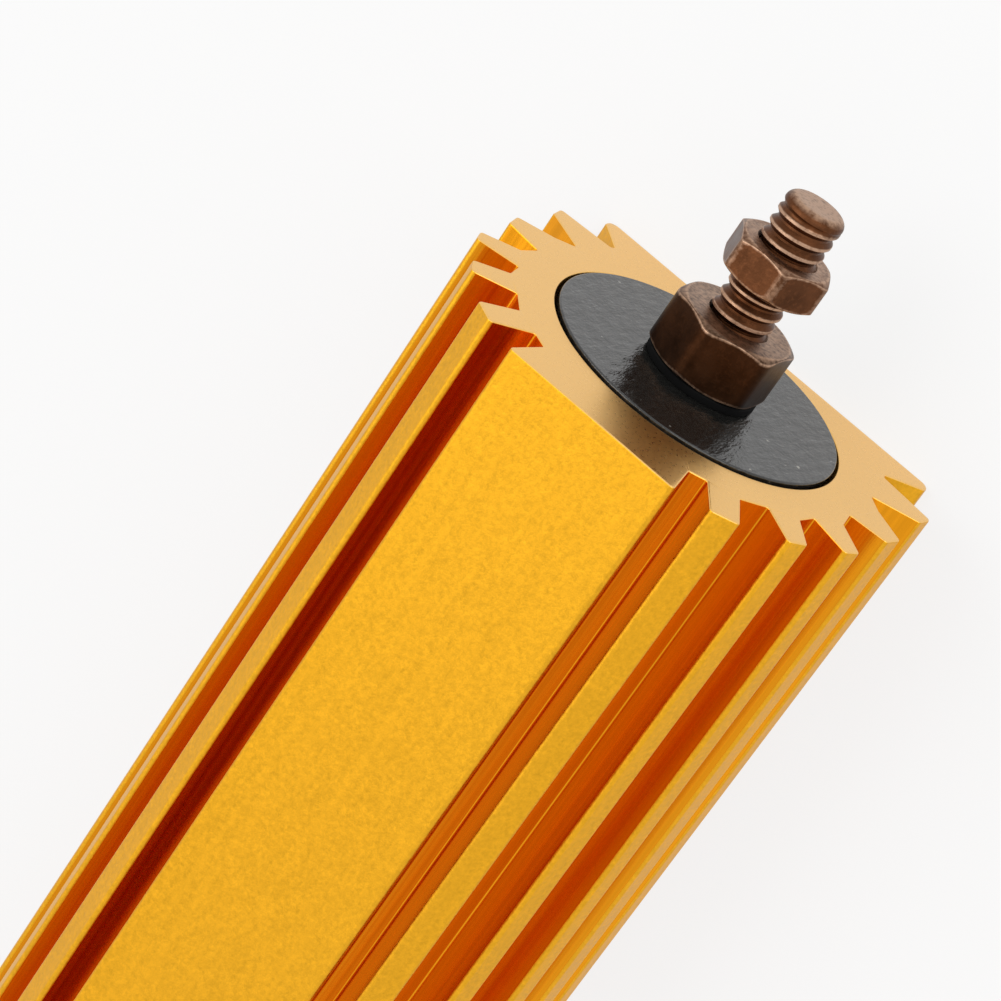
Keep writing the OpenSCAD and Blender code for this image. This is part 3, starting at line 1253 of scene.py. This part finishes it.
class RESISTOR_OT_nuts(bpy.types.Operator):
    """Build the large base nuts and the small terminal nuts"""

    bl_idname = "resistor.nuts"
    bl_label = "Hex Nuts"

    def execute(self, context):
        s = context.scene.resistor_terminal
        # The large nut takes the darker bronze, which is painted shade, and fewer pale marks on its corners.
        kinds = (
            ("Base_Nut", "base_nut", BASE_NUT_LOW.x, BASE_NUT_HIGH.x, s.base_nut_flats,
             s.base_nut_turn, s.base_nut_round, 0.12, s.base_nut_shade_color),
            ("Terminal_Nut", "terminal_nut", TERMINAL_NUT_LOW.x, TERMINAL_NUT_HIGH.x,
             s.terminal_nut_flats, s.terminal_nut_turn, s.terminal_nut_round, 0.5, s.color),
        )
        for label, node, low, high, flats, turn, corner_round, corner_wear_and_highlight, color in kinds:
            bronze = dark_bronze(color, s.worn_and_highlight_color)
            for end, rear in (("front", False), ("rear", True)):
                outline = hex_outline(flats, turn, corner_round)
                bm = nut_mesh(low, high, outline, flats / 2, s.nut_chamfer, corner_wear_and_highlight)
                if rear:
                    mirror_to_rear(bm)
                name = f"{label}_{end}"
                piece = add_object(name, bm_to_mesh(bm, name))
                piece.data.materials.append(bronze)
                shade(piece, 30)
                finish_piece(piece, "dark_bronze", f"{node}_{end}")
        return {"FINISHED"}


# ---------------------------------------------------------------------------
# Element inside the bore
# ---------------------------------------------------------------------------


def winding_tree():
    """Geometry Nodes tree for the resistance wire: a spiral swept with a circle."""
    tree = bpy.data.node_groups.new("Resistance Winding", "GeometryNodeTree")
    face = tree.interface
    face.new_socket("Geometry", in_out="OUTPUT", socket_type="NodeSocketGeometry")
    face.new_socket("Geometry", in_out="INPUT", socket_type="NodeSocketGeometry")
    for name, value in (
        ("Coil Radius", 0.0084),
        ("Length", 0.1),
        ("Turns", 88.0),
        ("Wire Radius", 0.00043),
        ("Axis Height", BORE_HEIGHT),
    ):
        socket = face.new_socket(name, in_out="INPUT", socket_type="NodeSocketFloat")
        socket.default_value = value
    face.new_socket("Material", in_out="INPUT", socket_type="NodeSocketMaterial")
    nodes, links = tree.nodes, tree.links
    group_in = nodes.new("NodeGroupInput")
    group_out = nodes.new("NodeGroupOutput")
    spiral = nodes.new("GeometryNodeCurveSpiral")
    spiral.inputs["Resolution"].default_value = 32
    links.new(group_in.outputs["Turns"], spiral.inputs["Rotations"])
    links.new(group_in.outputs["Coil Radius"], spiral.inputs["Start Radius"])
    links.new(group_in.outputs["Coil Radius"], spiral.inputs["End Radius"])
    links.new(group_in.outputs["Length"], spiral.inputs["Height"])
    circle = nodes.new("GeometryNodeCurvePrimitiveCircle")
    circle.inputs["Resolution"].default_value = 8
    links.new(group_in.outputs["Wire Radius"], circle.inputs["Radius"])
    sweep = nodes.new("GeometryNodeCurveToMesh")
    sweep.inputs["Fill Caps"].default_value = True
    links.new(spiral.outputs["Curve"], sweep.inputs["Curve"])
    links.new(circle.outputs["Curve"], sweep.inputs["Profile Curve"])
    half = nodes.new("ShaderNodeMath")
    half.operation = "MULTIPLY"
    half.inputs[1].default_value = -0.5
    links.new(group_in.outputs["Length"], half.inputs[0])
    offset = nodes.new("ShaderNodeCombineXYZ")
    links.new(half.outputs["Value"], offset.inputs["X"])
    links.new(group_in.outputs["Axis Height"], offset.inputs["Z"])
    place = nodes.new("GeometryNodeTransform")
    place.inputs["Rotation"].default_value = (0.0, math.pi / 2, 0.0)
    links.new(sweep.outputs["Mesh"], place.inputs["Geometry"])
    links.new(offset.outputs["Vector"], place.inputs["Translation"])
    realize = nodes.new("GeometryNodeRealizeInstances")
    links.new(place.outputs["Geometry"], realize.inputs["Geometry"])
    paint = nodes.new("GeometryNodeSetMaterial")
    links.new(realize.outputs["Geometry"], paint.inputs["Geometry"])
    links.new(group_in.outputs["Material"], paint.inputs["Material"])
    links.new(paint.outputs["Geometry"], group_out.inputs["Geometry"])
    return tree


class RESISTOR_OT_element(bpy.types.Operator):
    """Wind the resistance wire and finish the pieces inside the bore"""

    bl_idname = "resistor.element"
    bl_label = "Element"

    def execute(self, context):
        s = context.scene.resistor_element
        wire = plain_finish("resistance_wire", (0.40, 0.37, 0.34), 1.0, 0.28, 0.4, 900, 0.1)
        core_radius = (CORE_HIGH.y - CORE_LOW.y) / 2
        wire_radius = s.wire_diameter / 2
        room = WINDING_HIGH.x - WINDING_LOW.x - s.wire_diameter
        mesh = run_tree(
            "Resistance_Winding",
            bpy.data.meshes.new("winding_seed"),
            winding_tree(),
            {
                "Coil Radius": core_radius + wire_radius,
                "Length": room,
                "Turns": float(s.turns),
                "Wire Radius": wire_radius,
                "Axis Height": BORE_HEIGHT,
                "Material": wire,
            },
        )
        winding = add_object("Resistance_Winding", mesh)
        for face in mesh.polygons:
            face.use_smooth = True
        finish_piece(winding, "resistance_wire", "resistance_winding")
        inner = (
            ("ceramic_core", plain_finish("fired_ceramic", (0.80, 0.77, 0.70), 0.0, 0.6, 0.75, 600, 0.3)),
            ("cement_filler", plain_finish("cured_cement", (0.50, 0.48, 0.43), 0.0, 0.8, 0.95, 450, 0.6)),
            ("end_cap_front", plain_finish("pressed_steel", (0.55, 0.55, 0.55), 1.0, 0.28, 0.4, 800, 0.1)),
            ("end_cap_rear", plain_finish("pressed_steel", (0.55, 0.55, 0.55), 1.0, 0.28, 0.4, 800, 0.1)),
        )
        for node, finish in inner:
            NODES[node].data.materials.clear()
            NODES[node].data.materials.append(finish)
        return {"FINISHED"}


# ---------------------------------------------------------------------------
# Stage, light and camera
# ---------------------------------------------------------------------------


def backdrop_rays(tree):
    """1 for rays that should meet plain white: from the camera or off a gloss."""
    path = tree.nodes.new("ShaderNodeLightPath")
    either = tree.nodes.new("ShaderNodeMath")
    either.operation = "MAXIMUM"
    tree.links.new(path.outputs["Is Camera Ray"], either.inputs[0])
    tree.links.new(path.outputs["Is Glossy Ray"], either.inputs[1])
    last = tree.nodes.new("ShaderNodeMath")
    last.operation = "MAXIMUM"
    tree.links.new(either.outputs[0], last.inputs[0])
    tree.links.new(path.outputs["Is Transmission Ray"], last.inputs[1])
    return last.outputs[0]


def build_world():
    """White all round: plain white to the camera and to gloss, softer as light."""
    world = bpy.data.worlds.new("Soft_Studio")
    bpy.context.scene.world = world
    world.use_nodes = True
    tree = world.node_tree
    tree.nodes.clear()
    soft = tree.nodes.new("ShaderNodeBackground")
    soft.inputs["Color"].default_value = (1.0, 1.0, 1.0, 1.0)
    soft.inputs["Strength"].default_value = 0.55
    white = tree.nodes.new("ShaderNodeBackground")
    white.inputs["Color"].default_value = (1.0, 1.0, 1.0, 1.0)
    white.inputs["Strength"].default_value = 1.0
    mix = tree.nodes.new("ShaderNodeMixShader")
    out = tree.nodes.new("ShaderNodeOutputWorld")
    tree.links.new(backdrop_rays(tree), mix.inputs["Fac"])
    tree.links.new(soft.outputs[0], mix.inputs[1])
    tree.links.new(white.outputs[0], mix.inputs[2])
    tree.links.new(mix.outputs[0], out.inputs["Surface"])


def floor_finish():
    """Pale floor: mostly its own white, with enough diffuse to hold a shadow."""
    material = bpy.data.materials.new("pale_floor")
    material.use_nodes = True
    tree = material.node_tree
    tree.nodes.clear()
    diffuse = tree.nodes.new("ShaderNodeBsdfDiffuse")
    diffuse.inputs["Color"].default_value = (0.85, 0.85, 0.85, 1.0)
    glow = tree.nodes.new("ShaderNodeEmission")
    glow.inputs["Strength"].default_value = 1.0
    share = tree.nodes.new("ShaderNodeMath")
    share.operation = "MULTIPLY"
    share.inputs[1].default_value = 0.8
    tree.links.new(backdrop_rays(tree), share.inputs[0])
    mix = tree.nodes.new("ShaderNodeMixShader")
    out = tree.nodes.new("ShaderNodeOutputMaterial")
    tree.links.new(share.outputs[0], mix.inputs["Fac"])
    tree.links.new(diffuse.outputs[0], mix.inputs[1])
    tree.links.new(glow.outputs[0], mix.inputs[2])
    tree.links.new(mix.outputs[0], out.inputs["Surface"])
    return material


def add_lamp(name, place, aim, size, power):
    lamp = bpy.data.lights.new(name, "AREA")
    lamp.shape = "DISK"
    lamp.size = size
    lamp.energy = power
    holder = bpy.data.objects.new(name, lamp)
    holder.location = place
    holder.rotation_mode = "QUATERNION"
    holder.rotation_quaternion = (Vector(aim) - Vector(place)).to_track_quat("-Z", "Y")
    bpy.context.scene.collection.objects.link(holder)


class RESISTOR_OT_stage(bpy.types.Operator):
    """Lay the floor, set the lamps and place the camera"""

    bl_idname = "resistor.stage"
    bl_label = "Stage"

    def execute(self, context):
        s = context.scene.resistor_stage
        half = s.floor_size / 2
        mesh = bpy.data.meshes.new("Floor")
        mesh.from_pydata(
            [(-half, -half, 0), (half, -half, 0), (half, half, 0), (-half, half, 0)],
            [],
            [(0, 1, 2, 3)],
        )
        mesh.materials.append(floor_finish())
        floor = add_object("Floor", mesh)
        build_world()
        add_lamp("Key_Lamp", (0.15, 0.45, 0.75), (0.03, 0, 0.02), 0.7, 3.0)
        add_lamp("Fill_Lamp", (0.55, -0.55, 0.5), (0.05, 0, 0.02), 0.8, 2.0)
        data = bpy.data.cameras.new("Camera")
        data.sensor_width = 36.0
        data.lens = s.camera_lens
        data.clip_start, data.clip_end = 0.01, 20.0
        camera = bpy.data.objects.new("Camera", data)
        context.scene.collection.objects.link(camera)
        place, aim = Vector(s.camera_place), Vector(s.camera_aim)
        look = (aim - place).normalized()
        camera.location = place
        camera.rotation_mode = "QUATERNION"
        camera.rotation_quaternion = Quaternion(look, s.camera_roll) @ look.to_track_quat(
            "-Z", "Y"
        )
        context.scene.camera = camera
        context.scene.view_settings.view_transform = "Standard"
        return {"FINISHED"}


# ---------------------------------------------------------------------------
# Panel and registration
# ---------------------------------------------------------------------------


class RESISTOR_PT_panel(bpy.types.Panel):
    """Lists the resistor's settings and the steps that build it"""

    bl_idname = "RESISTOR_PT_panel"
    bl_label = "Power Resistor"
    bl_space_type = "VIEW_3D"
    bl_region_type = "UI"
    bl_category = "Resistor"

    def draw(self, context):
        for operator, group in STEPS:
            box = self.layout.box()
            box.operator(operator)
            if group:
                settings = getattr(context.scene, group)
                for name in settings.__annotations__:
                    box.prop(settings, name)


STEPS = (
    ("resistor.housing", "resistor_housing"),
    ("resistor.seals", "resistor_seal"),
    ("resistor.studs", "resistor_terminal"),
    ("resistor.nuts", None),
    ("resistor.element", "resistor_element"),
    ("resistor.stage", "resistor_stage"),
)

GROUPS = (
    ("resistor_housing", HousingSettings),
    ("resistor_seal", SealSettings),
    ("resistor_terminal", TerminalSettings),
    ("resistor_element", ElementSettings),
    ("resistor_stage", StageSettings),
)

OPERATORS = (
    RESISTOR_OT_housing,
    RESISTOR_OT_seals,
    RESISTOR_OT_studs,
    RESISTOR_OT_nuts,
    RESISTOR_OT_element,
    RESISTOR_OT_stage,
    RESISTOR_PT_panel,
)


def register():
    for name, group in GROUPS:
        bpy.utils.register_class(group)
        setattr(bpy.types.Scene, name, PointerProperty(type=group))
    for item in OPERATORS:
        bpy.utils.register_class(item)


def unregister():
    for item in reversed(OPERATORS):
        bpy.utils.unregister_class(item)
    for name, group in reversed(GROUPS):
        delattr(bpy.types.Scene, name)
        bpy.utils.unregister_class(group)


def main():
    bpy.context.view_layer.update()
    register()
    for operator, _ in STEPS:
        group, name = operator.split(".")
        getattr(getattr(bpy.ops, group), name)()


if __name__ == "__main__":
    main()
